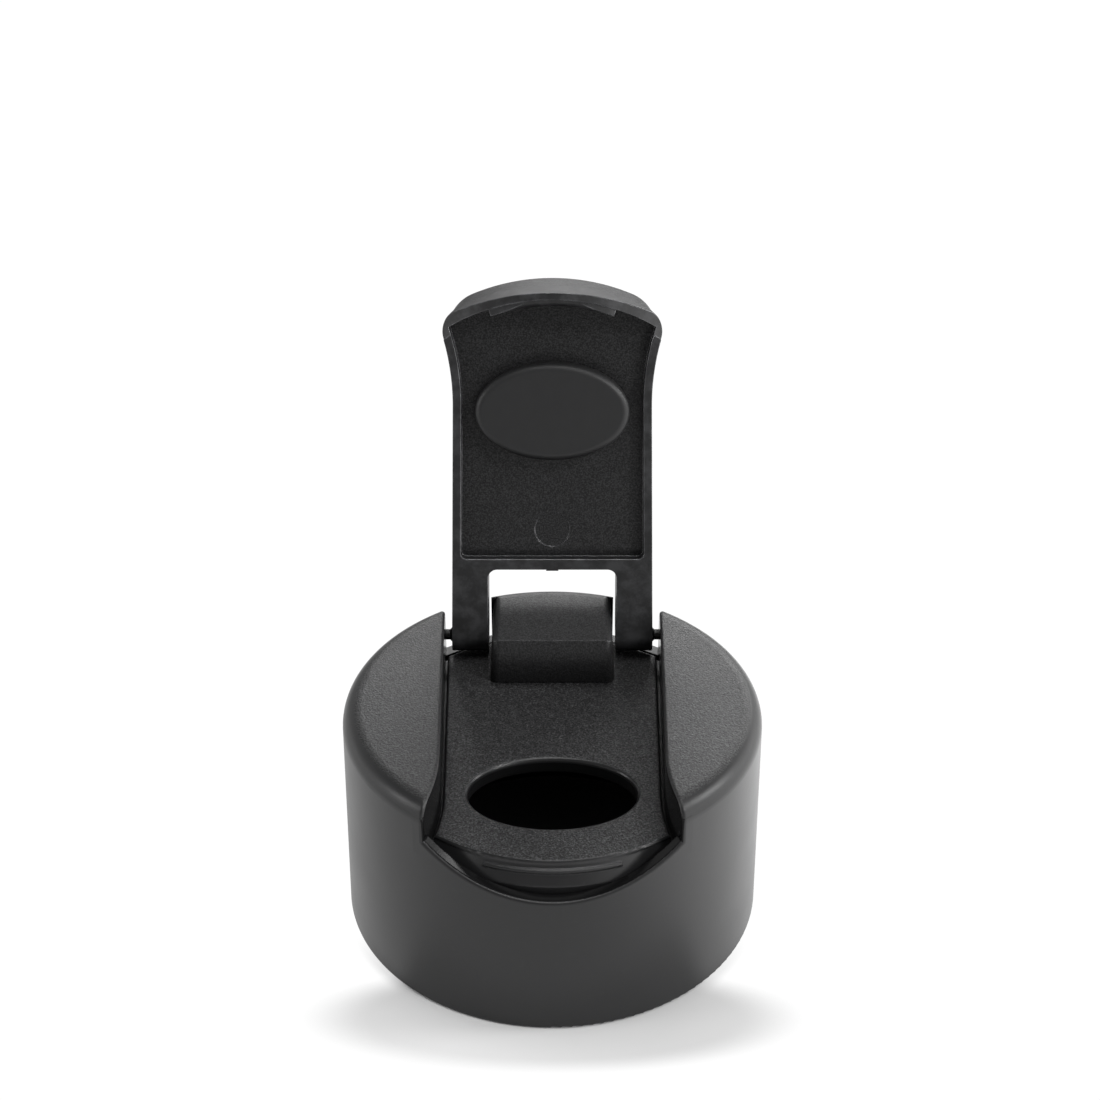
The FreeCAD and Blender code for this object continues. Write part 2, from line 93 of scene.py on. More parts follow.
class TreeBook:
    """Adds and joins the nodes of one tree with short calls."""

    def __init__(self, tree: bpy.types.NodeTree) -> None:
        """Keeps the tree that gets the nodes."""
        self.tree = tree

    def feed(self, socket: Socket, value: object) -> None:
        """Joins an input to another node's output, or sets its value.

        Args:
            socket: the input.
            value: an output socket or a plain value.
        """
        if isinstance(value, bpy.types.NodeSocket):
            self.tree.links.new(value, socket)
        else:
            socket.default_value = value

    def add(self, kind: str, inputs: dict | None = None, **settings: object) -> bpy.types.Node:
        """Adds one node.

        Args:
            kind: the node's type name.
            inputs: values or output sockets for its inputs, by name or index.
            settings: properties of the node itself.

        Returns:
            The new node.
        """
        node = self.tree.nodes.new(kind)
        for key, value in settings.items():
            setattr(node, key, value)
        for key, value in (inputs or {}).items():
            self.feed(node.inputs[key], value)
        return node

    def maths(self, operation: str, first: Reading, second: Reading = 0.0, clamp: bool = False) -> Socket:
        """Adds a Math node.

        Args:
            operation: the Math node's operation.
            first: first value or socket.
            second: second value or socket.
            clamp: True keeps the result between 0 and 1.

        Returns:
            Its output socket.
        """
        inputs = {0: first, 1: second}
        return self.add("ShaderNodeMath", inputs, operation=operation, use_clamp=clamp).outputs[0]

    def product(self, first: Reading, *others: Reading) -> Socket:
        """Multiplies several readings.

        Args:
            first: first value or socket.
            others: the values or sockets it is multiplied by.

        Returns:
            The product's socket.
        """
        for other in others:
            first = self.maths("MULTIPLY", first, other)
        return first


class NodeBook(TreeBook):
    """Adds to one shader tree the steps that finishes are made of."""

    def __init__(self, tree: bpy.types.NodeTree) -> None:
        """Starts on an emptied tree."""
        super().__init__(tree)
        tree.nodes.clear()

    def split(self, vector: Socket) -> tuple[Socket, Socket, Socket]:
        """Takes a vector apart and returns its X, Y and Z sockets."""
        return tuple(self.add("ShaderNodeSeparateXYZ", {0: vector}).outputs)

    def ramp(self, value: Socket, band: Band, levels: Band = RISE) -> Socket:
        """Adds a smooth step from one level to another.

        Args:
            value: the socket that is read.
            band: values at which the step starts and ends.
            levels: results at the start and at the end.

        Returns:
            The output socket.
        """
        node = self.add("ShaderNodeMapRange", {
            "Value": value, "From Min": band[0], "From Max": band[1],
            "To Min": levels[0], "To Max": levels[1]}, interpolation_type="SMOOTHSTEP")
        return node.outputs["Result"]

    def length(self, first: Socket, second: Socket) -> Socket:
        """Adds the length of a two-part vector and returns its socket."""
        squares = [self.maths("MULTIPLY", part, part) for part in (first, second)]
        return self.maths("SQRT", self.maths("ADD", *squares))

    def noise(self, place: Socket, scale: float, detail: float, roughness: float = 0.5) -> Socket:
        """Adds a noise pattern.

        Args:
            place: the coordinates it lies on.
            scale: how many of its cells lie in a metre.
            detail: how many finer layers it has.
            roughness: how strong the finer layers are.

        Returns:
            Its value's socket, 0 to 1.
        """
        inputs = {"Vector": place, "Scale": scale, "Detail": detail, "Roughness": roughness}
        return self.add("ShaderNodeTexNoise", inputs).outputs[0]

    def between(self, factor: Socket, first: Reading, second: Reading) -> Socket:
        """Adds a mix of two numbers and returns its socket."""
        return self.add("ShaderNodeMix", {0: factor, 2: first, 3: second}).outputs[0]

    def blend(self, factor: Socket, first: object, second: object) -> Socket:
        """Adds a mix of two colours and returns its socket."""
        return self.add("ShaderNodeMix", {0: factor, 6: first, 7: second}, data_type="RGBA").outputs[2]


def rgba(colour: Colour) -> tuple[float, float, float, float]:
    """The colour with full cover."""
    return (*colour, 1.0)


def tinted(colour: Colour, factor: float) -> tuple[float, float, float, float]:
    """The colour made lighter or darker by a factor, with full cover."""
    return rgba(tuple(channel * factor for channel in colour))


@dataclass(frozen=True)
class PolishAndShade:
    """Where a moulding is polished and gets painted shade: its channel walls and the face of its front
    cut-out.
    """

    inside_radius: float
    above: float
    beside: float
    cut_radius: float
    cut_centre: float
    roughness: float = 0.17
    # Colour factor of the painted shade on the polished faces.
    painted_shade: float = 0.40
    sheen: float = 0.12
    fade: float = 1.0 * MM
    skin_fade: float = 0.1 * MM
    steep: Band = (0.20, 0.32)
    on_cut: Band = (0.02 * MM, 0.05 * MM)
    inward: Band = (0.90, 0.97)

    def walls(self, book: NodeBook, place: Socket, rise: Socket) -> Socket:
        """How strongly the polish and painted shade of the channel walls show at a point, 0 to 1.

        Args:
            book: the tree's node book.
            place: the piece's own coordinates.
            rise: upward part of the face's normal.

        Returns:
            The mask's socket.
        """
        across, depth, height = book.split(place)
        skin = (self.inside_radius, self.inside_radius + self.skin_fade)
        return book.product(
            book.ramp(book.length(across, depth), skin, FALL),
            book.ramp(height, (self.above, self.above + self.fade)),
            book.ramp(rise, self.steep, FALL),
            book.ramp(book.maths("ABSOLUTE", across), (self.beside, self.beside + self.fade)))

    def cut_face(self, book: NodeBook, place: Socket, lean: Socket, rise: Socket) -> Socket:
        """How strongly the polish and painted shade of the cut-out's face show at a point, 0 to 1.

        Args:
            book: the tree's node book.
            place: the piece's own coordinates.
            lean: sideways part of the face's normal.
            rise: upward part of the face's normal.

        Returns:
            The mask's socket.
        """
        across, depth, height = book.split(place)
        drop = book.maths("SUBTRACT", height, self.cut_centre)
        off = book.maths("SUBTRACT", book.length(across, drop), self.cut_radius)
        towards = book.maths("ADD", book.product(across, lean), book.product(drop, rise))
        return book.product(
            book.ramp(book.maths("ABSOLUTE", off), self.on_cut, FALL),
            book.ramp(depth, (-self.beside, -self.beside - self.fade)),
            book.ramp(book.maths("DIVIDE", towards, -self.cut_radius), self.inward))

    def mask(self, book: NodeBook, place: Socket) -> Socket:
        """How strongly the polish and its painted shade show at a point, 0 to 1.

        Args:
            book: the tree's node book.
            place: the piece's own coordinates.

        Returns:
            The mask's socket.
        """
        lean, _, rise = book.split(book.add("ShaderNodeNewGeometry").outputs["True Normal"])
        return book.maths(
            "MAXIMUM", self.walls(book, place, rise), self.cut_face(book, place, lean, rise))


@dataclass(frozen=True)
class Well:
    """Wall of the oval drinking opening, which gets painted shade and a matt finish below its rounded
    rim.
    """

    half_width: float
    half_depth: float
    centre: float
    level: float
    roughness: float = 0.55
    # Colour factor of the painted shade on the opening's wall.
    painted_shade: float = 0.35
    sheen: float = 0.15
    fade: float = 0.25 * MM
    border: Band = (1.10, 1.16)

    def mask(self, book: NodeBook, place: Socket) -> Socket:
        """How strongly the wall's painted shade and matt finish show at a point, 0 to 1.

        Args:
            book: the tree's node book.
            place: the piece's own coordinates.

        Returns:
            The mask's socket.
        """
        across, depth, height = book.split(place)
        ahead = book.maths("DIVIDE", book.maths("SUBTRACT", depth, self.centre), self.half_depth)
        oval = book.length(book.maths("DIVIDE", across, self.half_width), ahead)
        return book.product(
            book.ramp(oval, self.border, FALL),
            book.ramp(height, (self.level - self.fade, self.level), FALL))


@dataclass(frozen=True)
class Camber:
    """Slight camber of the hinge block's flat top: its shading leans forward towards the front."""

    half_width: float
    rear: float
    front: float
    top: float
    foot: float
    lean: float
    side_fade: float = 0.2 * MM
    top_fade: float = 0.05 * MM
    nose_fade: float = 0.3 * MM
    foot_fade: float = 1.0 * MM
    behind_axis: Band = (0.0, 1.0 * MM)

    def beside(self, book: NodeBook, across: Socket) -> Socket:
        """Mask of what lies within the block's width, 0 to 1."""
        width = (self.half_width, self.half_width + self.side_fade)
        return book.ramp(book.maths("ABSOLUTE", across), width, FALL)

    def nose(self, book: NodeBook, place: Socket) -> Socket:
        """Mask of the block's rounded nose, which is grained as its top is.

        Args:
            book: the tree's node book.
            place: the piece's own coordinates.

        Returns:
            The mask's socket.
        """
        across, depth, height = book.split(place)
        return book.product(
            book.ramp(height, (self.foot, self.foot + self.foot_fade)),
            self.beside(book, across),
            book.ramp(depth, self.behind_axis),
            book.ramp(depth, (self.front, self.front + self.nose_fade), FALL))

    def bend(self, book: NodeBook, place: Socket, normal: Socket) -> Socket:
        """Leans the normal on the cambered face.

        Args:
            book: the tree's node book.
            place: the piece's own coordinates.
            normal: the normal before the camber.

        Returns:
            The leaning normal's socket.
        """
        across, depth, height = book.split(place)
        lean = book.product(
            self.beside(book, across),
            book.ramp(height, (self.top, self.top + self.top_fade)),
            book.ramp(depth, (self.rear, self.front)),
            -self.lean)
        push = book.add("ShaderNodeCombineXYZ", {"Y": lean}).outputs[0]
        total = book.add("ShaderNodeVectorMath", {0: normal, 1: push}, operation="ADD").outputs[0]
        return book.add("ShaderNodeVectorMath", {0: total}, operation="NORMALIZE").outputs[0]


@dataclass(frozen=True)
class Ground:
    """Readings at a point of a moulding that its relief, colour, roughness and sheen share."""

    place: Socket
    grained: Socket
    pits: Socket
    painted_grain_glint: Socket
    broad: Socket
    edge: Socket
    edge_highlight: Socket


@dataclass(frozen=True)
class MouldedPlastic:
    """Moulded plastic, spark-grained on some faces and satin on the rest."""

    name: str
    colour: Colour
    zone: GrainZone
    zone_low: float
    zone_high: float
    # Strength of the painted shade in the grain's pits and painted glints on its peaks.
    painted_glint_strength: float
    # Strength of the painted sparkle: bright specks on grained faces.
    painted_sparkle: float
    # Colour factor of the painted highlight along rounded edges.
    painted_edge_highlight: float
    turn: float = 0.0
    pivot: Place = (0.0, 0.0, 0.0)
    patch: PolishAndShade | Well | None = None
    camber: Camber | None = None
    grained_roughness: float = 0.42
    satin_roughness: float = 0.36
    sway: float = 0.12
    ior: float = 1.42
    grain_size: float = 0.18 * MM
    grain_height: float = 0.042 * MM
    satin_height: float = 0.004 * MM
    pit_detail: float = 2.0
    spark_spread: float = 0.62
    spark_smooth: float = 0.4
    spark_share: float = 0.7
    recess_fade: float = 0.4 * MM
    rim_fade: float = 0.5 * MM
    rim_grain: float = 0.55
    edge_round: float = 0.20 * MM
    edge_samples: int = 4
    edge_roughness: float = 0.15
    edge_sheen: float = 1.0
    edge_bend: Band = (0.995, 0.90)
    tones: Band = (0.80, 1.20)
    broad_scale: float = 90.0
    broad_detail: float = 3.0
    flow_scale: float = 900.0
    flow_detail: float = 2.0
    dust: Band = (0.62, 0.80)
    dust_share: float = 0.25
    dust_tint: float = 1.8
    cloud_scale: float = 420.0
    cloud_detail: float = 5.0
    cloud_roughness: float = 0.65
    clouds: Band = (0.38, 0.68)
    # Painted light on satin faces, with cloudy mottling.
    satin_painted_light: float = 0.0
    glints: Band = (0.34, 0.66)
    painted_sparkle_specks: Band = (0.60, 0.72)
    plain_sheen: float = 0.5
    glint_sheen: float = 0.28

    def own_place(self, book: NodeBook) -> Socket:
        """Object coordinates, turned back to how the piece came out of its mould.

        Args:
            book: the tree's node book.

        Returns:
            The coordinate socket.
        """
        place = book.add("ShaderNodeTexCoord").outputs["Object"]
        if not self.turn:
            return place
        inputs = {"Vector": place, "Center": self.pivot, "Angle": self.turn}
        return book.add("ShaderNodeVectorRotate", inputs, rotation_type="X_AXIS").outputs[0]

    def grained(self, book: NodeBook, place: Socket) -> Socket:
        """How strongly the grain shows at a point, 0 to 1.

        Args:
            book: the tree's node book.
            place: the piece's own coordinates.

        Returns:
            The mask's socket.
        """
        height = book.split(place)[2]
        if self.zone is GrainZone.LID:
            recess = book.ramp(height, (self.zone_low, self.zone_low + self.recess_fade))
            rim = (self.zone_high, self.zone_high + self.rim_fade)
            return book.product(recess, book.ramp(height, rim, (1.0, self.rim_grain)))
        level = book.ramp(height, (self.zone_low, self.zone_high))
        if not self.camber:
            return level
        return book.maths("MAXIMUM", level, self.camber.nose(book, place))

    def ground(self, book: NodeBook) -> Ground:
        """Reads what the relief, the colour, the roughness and the sheen share.

        Args:
            book: the tree's node book.

        Returns:
            The readings' sockets.
        """
        place = self.own_place(book)
        grained = self.grained(book, place)
        pits = book.noise(place, 1 / self.grain_size, self.pit_detail)
        # Painted shade in the grain's pits and painted glints on its peaks, as a darker or lighter
        # colour.
        painted_grain_glint = book.maths("SUBTRACT", book.ramp(pits, self.glints), 0.5)
        edge = book.add(
            "ShaderNodeBevel", {"Radius": self.edge_round}, samples=self.edge_samples).outputs[0]
        facing = book.add("ShaderNodeNewGeometry").outputs["Normal"]
        agree = book.add("ShaderNodeVectorMath", {0: edge, 1: facing}, operation="DOT_PRODUCT")
        return Ground(
            place=place, grained=grained, pits=pits,
            painted_grain_glint=book.product(painted_grain_glint, grained, self.painted_glint_strength),
            broad=book.noise(place, self.broad_scale, self.broad_detail),
            edge=edge, edge_highlight=book.ramp(agree.outputs["Value"], self.edge_bend))

    def relief(self, book: NodeBook, ground: Ground) -> Socket:
        """The normal with rounded edges, camber and grain.

        Args:
            book: the tree's node book.
            ground: the shared readings.

        Returns:
            The normal's socket.
        """
        spark = book.add("ShaderNodeTexVoronoi", {
            "Vector": ground.place, "Scale": self.spark_spread / self.grain_size,
            "Smoothness": self.spark_smooth}, feature="SMOOTH_F1").outputs["Distance"]
        height = book.maths("ADD", ground.pits, book.product(spark, self.spark_share))
        depth = book.ramp(ground.grained, RISE, (self.satin_height, self.grain_height))
        form = self.camber.bend(book, ground.place, ground.edge) if self.camber else ground.edge
        return book.add("ShaderNodeBump", {
            "Strength": 1.0, "Distance": depth, "Height": height, "Normal": form}).outputs[0]

    def tone(self, book: NodeBook, ground: Ground) -> Socket:
        """The plastic's colour: dust, painted edge highlights, painted light on cloudy satin, painted
        grain shade and glints.

        Args:
            book: the tree's node book.
            ground: the shared readings.

        Returns:
            The colour's socket.
        """
        flow = book.noise(ground.place, self.flow_scale, self.flow_detail)
        dusty = book.product(book.ramp(flow, self.dust), self.dust_share)
        darkest, lightest = (tinted(self.colour, factor) for factor in self.tones)
        base = book.blend(ground.broad, darkest, lightest)
        base = book.blend(dusty, base, tinted(self.colour, self.dust_tint))
        # Painted highlight: rounded edges are lightened in the colour.
        base = book.blend(ground.edge_highlight, base, tinted(self.colour, self.painted_edge_highlight))
        # Cloudy mottling on satin faces, which also lightens them overall as painted light.
        clouds = book.noise(ground.place, self.cloud_scale, self.cloud_detail, self.cloud_roughness)
        satin = book.maths("SUBTRACT", 1.0, ground.grained)
        satin_light_mottle = book.product(book.ramp(clouds, self.clouds), self.satin_painted_light, satin)
        # Painted sparkle: bright specks on the grain's peaks, lighter in the colour.
        painted_sparkle_specks = book.product(book.ramp(ground.pits, self.painted_sparkle_specks), self.painted_sparkle, ground.grained)
        lift = book.maths("ADD", ground.painted_grain_glint, book.maths("ADD", satin_light_mottle, painted_sparkle_specks))
        value = book.maths("ADD", 1.0, lift)
        return book.add("ShaderNodeHueSaturation", {"Color": base, "Value": value}).outputs[0]

    def gloss(self, book: NodeBook, ground: Ground) -> tuple[Socket, Socket]:
        """The roughness and the sheen.

        Args:
            book: the tree's node book.
            ground: the shared readings.

        Returns:
            The roughness's socket and the sheen's.
        """
        level = book.ramp(ground.grained, RISE, (self.satin_roughness, self.grained_roughness))
        sway = book.product(book.maths("SUBTRACT", ground.broad, 0.5), self.sway)
        rough = book.between(ground.edge_highlight, book.maths("ADD", level, sway, clamp=True), self.edge_roughness)
        sheen = book.maths(
            "ADD", self.plain_sheen, book.product(ground.painted_grain_glint, self.glint_sheen), clamp=True)
        return rough, book.maths("MAXIMUM", sheen, book.product(ground.edge_highlight, self.edge_sheen))

    def build(self) -> bpy.types.Material:
        """Makes the material.

        Returns:
            The finished material.
        """
        material = bpy.data.materials.new(self.name)
        material.use_nodes = True
        book = NodeBook(material.node_tree)
        ground = self.ground(book)
        base = self.tone(book, ground)
        rough, sheen = self.gloss(book, ground)
        if self.patch:
            mask = self.patch.mask(book, ground.place)
            # Painted shade: polished walls and the opening's wall are darkened in the colour.
            base = book.blend(mask, base, tinted(self.colour, self.patch.painted_shade))
            rough = book.between(mask, rough, self.patch.roughness)
            sheen = book.between(mask, sheen, self.patch.sheen)
        shader = book.add("ShaderNodeBsdfPrincipled", {
            "Base Color": base, "Roughness": rough, "Normal": self.relief(book, ground),
            "IOR": self.ior, "Specular IOR Level": sheen})
        book.add("ShaderNodeOutputMaterial", {"Surface": shader.outputs[0]})
        return material


@dataclass(frozen=True)
class SatinRubber:
    """Soft moulded rubber with a close satin surface."""

    name: str
    colour: Colour
    roughness: float = 0.46
    sway: float = 0.12
    specular: float = 0.36
    tones: Band = (0.9, 1.1)
    ripple_size: float = 1.4 * MM
    ripple_detail: float = 1.0
    ripple_height: float = 0.010 * MM
    fine_size: float = 0.2 * MM
    fine_detail: float = 2.0
    fine_share: float = 0.25
    edge_round: float = 0.25 * MM
    edge_samples: int = 4

    def build(self) -> bpy.types.Material:
        """Makes the material.

        Returns:
            The finished material.
        """
        material = bpy.data.materials.new(self.name)
        material.use_nodes = True
        book = NodeBook(material.node_tree)
        place = book.add("ShaderNodeTexCoord").outputs["Object"]
        ripple = book.noise(place, 1 / self.ripple_size, self.ripple_detail)
        fine = book.noise(place, 1 / self.fine_size, self.fine_detail)
        relief = book.maths("ADD", ripple, book.product(fine, self.fine_share))
        edge = book.add("ShaderNodeBevel", {"Radius": self.edge_round}, samples=self.edge_samples)
        bump = book.add("ShaderNodeBump", {
            "Strength": 1.0, "Distance": self.ripple_height, "Height": relief, "Normal": edge.outputs[0]})
        base = book.blend(ripple, *(tinted(self.colour, factor) for factor in self.tones))
        sway = book.product(book.maths("SUBTRACT", fine, 0.5), self.sway)
        shader = book.add("ShaderNodeBsdfPrincipled", {
            "Base Color": base, "Roughness": book.maths("ADD", self.roughness, sway),
            "Normal": bump.outputs[0], "Specular IOR Level": self.specular})
        book.add("ShaderNodeOutputMaterial", {"Surface": shader.outputs[0]})
        return material


def dress(node: str, material: bpy.types.Material) -> None:
    """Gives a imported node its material.

    Args:
        node: the node's name.
        material: the finish it gets in each of its slots.
    """
    piece = frame["nodes"][node]
    if not piece.material_slots:
        piece.data.materials.append(material)
    for place in piece.material_slots:
        place.material = material
    log.info("dressed %s with %s", node, material.name)


class GeometryRecipe(TreeBook):
    """A Geometry Nodes tree with named inputs, turned into a plain mesh."""

    def __init__(self, name: str) -> None:
        """Makes an empty tree with its input and output nodes."""
        super().__init__(bpy.data.node_groups.new(name, "GeometryNodeTree"))
        self.name = name
        self.tree.interface.new_socket("Geometry", in_out="OUTPUT", socket_type="NodeSocketGeometry")
        self.start = self.add("NodeGroupInput")
        self.end = self.add("NodeGroupOutput")
        self.values: dict[str, object] = {}

    def size(self, label: str, value: object, kind: str = "NodeSocketFloat") -> Socket:
        """Adds a named input.

        Args:
            label: the input's name.
            value: what the modifier sets it to.
            kind: the socket's type.

        Returns:
            The input's socket inside the tree.
        """
        item = self.tree.interface.new_socket(label, in_out="INPUT", socket_type=kind)
        self.values[item.identifier] = value
        return self.start.outputs[label]

    def finish(self, geometry: Socket, material: bpy.types.Material) -> bpy.types.Object:
        """Ends the tree and turns its result into a plain mesh object.

        Args:
            geometry: socket of the shape made so far.
            material: finish of the piece.

        Returns:
            The object, at the origin and without a modifier.
        """
        slot = self.size("Finish", material, "NodeSocketMaterial")
        real = self.add("GeometryNodeRealizeInstances", {"Geometry": geometry})
        smooth = self.add("GeometryNodeSetShadeSmooth", {"Geometry": real.outputs[0]})
        painted = self.add("GeometryNodeSetMaterial", {"Geometry": smooth.outputs[0], "Material": slot})
        self.tree.links.new(painted.outputs[0], self.end.inputs[0])
        carrier = bpy.data.objects.new(self.name, bpy.data.meshes.new(self.name))
        bpy.context.scene.collection.objects.link(carrier)
        modifier = carrier.modifiers.new(self.name, "NODES")
        modifier.node_group = self.tree
        for identifier, value in self.values.items():
            modifier[identifier] = value
        bpy.context.view_layer.update()
        graph = bpy.context.evaluated_depsgraph_get()
        plain = bpy.data.meshes.new_from_object(carrier.evaluated_get(graph), depsgraph=graph)
        carrier.modifiers.clear()
        carrier.data = plain
        log.info("made %s, %d faces", self.name, len(plain.polygons))
        return carrier


@dataclass
class Skirt:
    """Outer shell with its grained roof, channel and hinge block."""

    node: str = "outer_shell"
    grain_fade: float = 0.12 * MM
    inner_skin: float = 25.85 * MM
    walls_from: float = 18.0 * MM
    block_half: float = 9.0 * MM
    cut_radius: float = 25.0 * MM
    cut_depth: float = 10.0 * MM
    camber_rear: float = 24.5 * MM
    camber_front: float = 16.0 * MM
    camber_lean: float = 0.20

    def build(self) -> None:
        """Dresses the shell."""
        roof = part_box(self.node)[1].z
        full_grain = roof - self.grain_fade
        polish_and_shade = PolishAndShade(
            inside_radius=self.inner_skin, above=self.walls_from, beside=self.block_half,
            cut_radius=self.cut_radius, cut_centre=roof - self.cut_depth + self.cut_radius)
        camber = Camber(
            half_width=self.block_half, rear=self.camber_rear, front=self.camber_front,
            top=full_grain, foot=self.walls_from, lean=self.camber_lean)
        finish = MouldedPlastic(
            "shell_plastic_black", (0.0130, 0.0130, 0.0135), GrainZone.LEVEL_TOP,
            zone_low=full_grain - self.grain_fade, zone_high=full_grain,
            # Strengths of the painted grain shade and glints, the painted sparkle and the painted edge
            # highlights.
            painted_glint_strength=0.70, painted_sparkle=0.6, painted_edge_highlight=2.5, edge_sheen=0.8,
            grain_height=0.025 * MM, patch=polish_and_shade, camber=camber)
        dress(self.node, finish.build())


@dataclass
class DrinkingInsert:
    """Inner cap with the drinking floor, the neck thread and the gasket."""

    node: str = "spout_base"
    gasket: str = "neck_gasket"
    grain_from: float = 0.06 * MM
    grain_full: float = 0.02 * MM
    opening_half_width: float = 10.5 * MM
    opening_half_depth: float = 6.5 * MM
    opening_centre: float = -10.4 * MM
    rim_round: float = 0.45 * MM
    bore_radius: float = 22.2 * MM
    thread_pitch: float = 4.6 * MM
    thread_turns: float = 1.6
    thread_round: float = 0.85 * MM
    thread_sink: float = 0.15 * MM
    thread_low: float = 4.2 * MM
    thread_run_out: float = 0.07
    thread_taper: float = 0.5
    thread_tip: float = 0.05
    thread_steps: int = 96
    thread_sides: int = 16
    bead_first: float = 18.9 * MM
    bead_step: float = 1.3 * MM
    bead_count: int = 2
    bead_round: float = 0.32 * MM
    bead_sink: float = 0.08 * MM
    bead_steps: int = 128
    bead_sides: int = 12

    def neck_thread(self, finish: bpy.types.Material) -> None:
        """Builds the rounded thread ridge that grips the bottle's neck.

        Args:
            finish: the insert's plastic.
        """
        recipe = GeometryRecipe("neck_thread")
        radius = recipe.size("Ridge Centre Radius", self.bore_radius + self.thread_sink)
        turns = recipe.size("Turns", self.thread_turns)
        rise = recipe.size("Rise", self.thread_pitch * self.thread_turns)
        low = recipe.size("Lowest Turn", self.thread_low)
        section = recipe.size("Ridge Round", self.thread_round)
        run_out = recipe.size("Run-out", self.thread_run_out)
        spiral = recipe.add("GeometryNodeCurveSpiral", {
            "Resolution": self.thread_steps, "Rotations": turns,
            "Start Radius": radius, "End Radius": radius, "Height": rise})
        lift = recipe.add("ShaderNodeCombineXYZ", {"Z": low})
        placed = recipe.add("GeometryNodeSetPosition", {
            "Geometry": spiral.outputs[0], "Offset": lift.outputs[0]})
        along = recipe.add("GeometryNodeSplineParameter").outputs["Factor"]
        near_end = recipe.maths("MINIMUM", along, recipe.maths("SUBTRACT", 1.0, along))
        swell = recipe.maths("MINIMUM", recipe.maths("DIVIDE", near_end, run_out), 1.0)
        swell = recipe.maths("MAXIMUM", recipe.maths("POWER", swell, self.thread_taper), self.thread_tip)
        tapered = recipe.add("GeometryNodeSetCurveRadius", {"Curve": placed.outputs[0], "Radius": swell})
        profile = recipe.add("GeometryNodeCurvePrimitiveCircle", {
            "Resolution": self.thread_sides, "Radius": section})
        ridge = recipe.add("GeometryNodeCurveToMesh", {
            "Curve": tapered.outputs[0], "Profile Curve": profile.outputs[0],
            "Scale": swell, "Fill Caps": True})
        piece = recipe.finish(ridge.outputs[0], finish)
        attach(piece, "cap")

    def sealing_beads(self, finish: bpy.types.Material) -> None:
        """Builds the round beads on the gasket's underside.

        Args:
            finish: the gasket's rubber.
        """
        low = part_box(self.gasket)[0].z
        recipe = GeometryRecipe("sealing_beads")
        first = recipe.size("First Radius", self.bead_first)
        step = recipe.size("Radius Step", self.bead_step)
        count = recipe.size("Count", self.bead_count, "NodeSocketInt")
        section = recipe.size("Bead Round", self.bead_round)
        level = recipe.size("Level", low + self.bead_sink)
        lift = recipe.add("ShaderNodeCombineXYZ", {"Z": level})
        points = recipe.add("GeometryNodeMeshLine", {
            "Count": count, "Start Location": lift.outputs[0], "Offset": (0.0, 0.0, 0.0)})
        circle = recipe.add("GeometryNodeCurvePrimitiveCircle", {
            "Resolution": self.bead_steps, "Radius": 1.0})
        index = recipe.add("GeometryNodeInputIndex").outputs[0]
        radius = recipe.maths("ADD", first, recipe.product(step, index))
        copies = recipe.add("GeometryNodeInstanceOnPoints", {
            "Points": points.outputs[0], "Instance": circle.outputs[0], "Scale": radius})
        rings = recipe.add("GeometryNodeRealizeInstances", {"Geometry": copies.outputs[0]})
        profile = recipe.add("GeometryNodeCurvePrimitiveCircle", {
            "Resolution": self.bead_sides, "Radius": section})
        beads = recipe.add("GeometryNodeCurveToMesh", {
            "Curve": rings.outputs[0], "Profile Curve": profile.outputs[0]})
        piece = recipe.finish(beads.outputs[0], finish)
        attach(piece, "cap")

    def build(self) -> None:
        """Dresses the insert and the gasket and adds their mouldings."""
        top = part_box(self.node)[1].z
        well = Well(
            half_width=self.opening_half_width, half_depth=self.opening_half_depth,
            centre=self.opening_centre, level=top - self.rim_round)
        plastic = MouldedPlastic(
            "base_plastic_black", (0.0140, 0.0140, 0.0145), GrainZone.LEVEL_TOP,
            zone_low=top - self.grain_from, zone_high=top - self.grain_full,
            # Strengths of the painted grain shade and glints, the painted sparkle and the painted edge
            # highlights.
            painted_glint_strength=1.20, painted_sparkle=3.0, painted_edge_highlight=2.2, edge_sheen=0.62,
            edge_round=0.35 * MM, edge_roughness=0.22,
            grained_roughness=0.50, satin_roughness=0.24, patch=well).build()
        rubber = SatinRubber("gasket_rubber_grey", (0.30, 0.30, 0.29), roughness=0.6).build()
        dress(self.node, plastic)
        dress(self.gasket, rubber)
        self.neck_thread(plastic)
        self.sealing_beads(rubber)


@dataclass
class FlipLid:
    """Open lid with its border rib, recess and lip, and the soft plug."""

    node: str = "flip_lid"
    plug: str = "lid_plug"
    open_angle: float = math.radians(110.0)
    rib_level: float = 24.15 * MM
    lip_level: float = 28.4 * MM

    def build(self) -> None:
        """Dresses the lid and its plug."""
        hinge = frame["joints"][0]["pos_m"]
        plastic = MouldedPlastic(
            "lid_plastic_black", (0.0088, 0.0088, 0.0093), GrainZone.LID,
            zone_low=self.rib_level, zone_high=self.lip_level,
            # Strengths of the painted grain shade and glints, the painted sparkle and the painted edge
            # highlights.
            painted_glint_strength=0.90, painted_sparkle=1.0, painted_edge_highlight=7.0,
            turn=self.open_angle, pivot=tuple(hinge),
            # The last value sets the painted light on the lid's satin faces.
            grained_roughness=0.40, satin_roughness=0.44, grain_height=0.026 * MM, satin_painted_light=2.28)
        dress(self.node, plastic.build())
        dress(self.plug, SatinRubber("plug_rubber_black", (0.013, 0.013, 0.0135)).build())


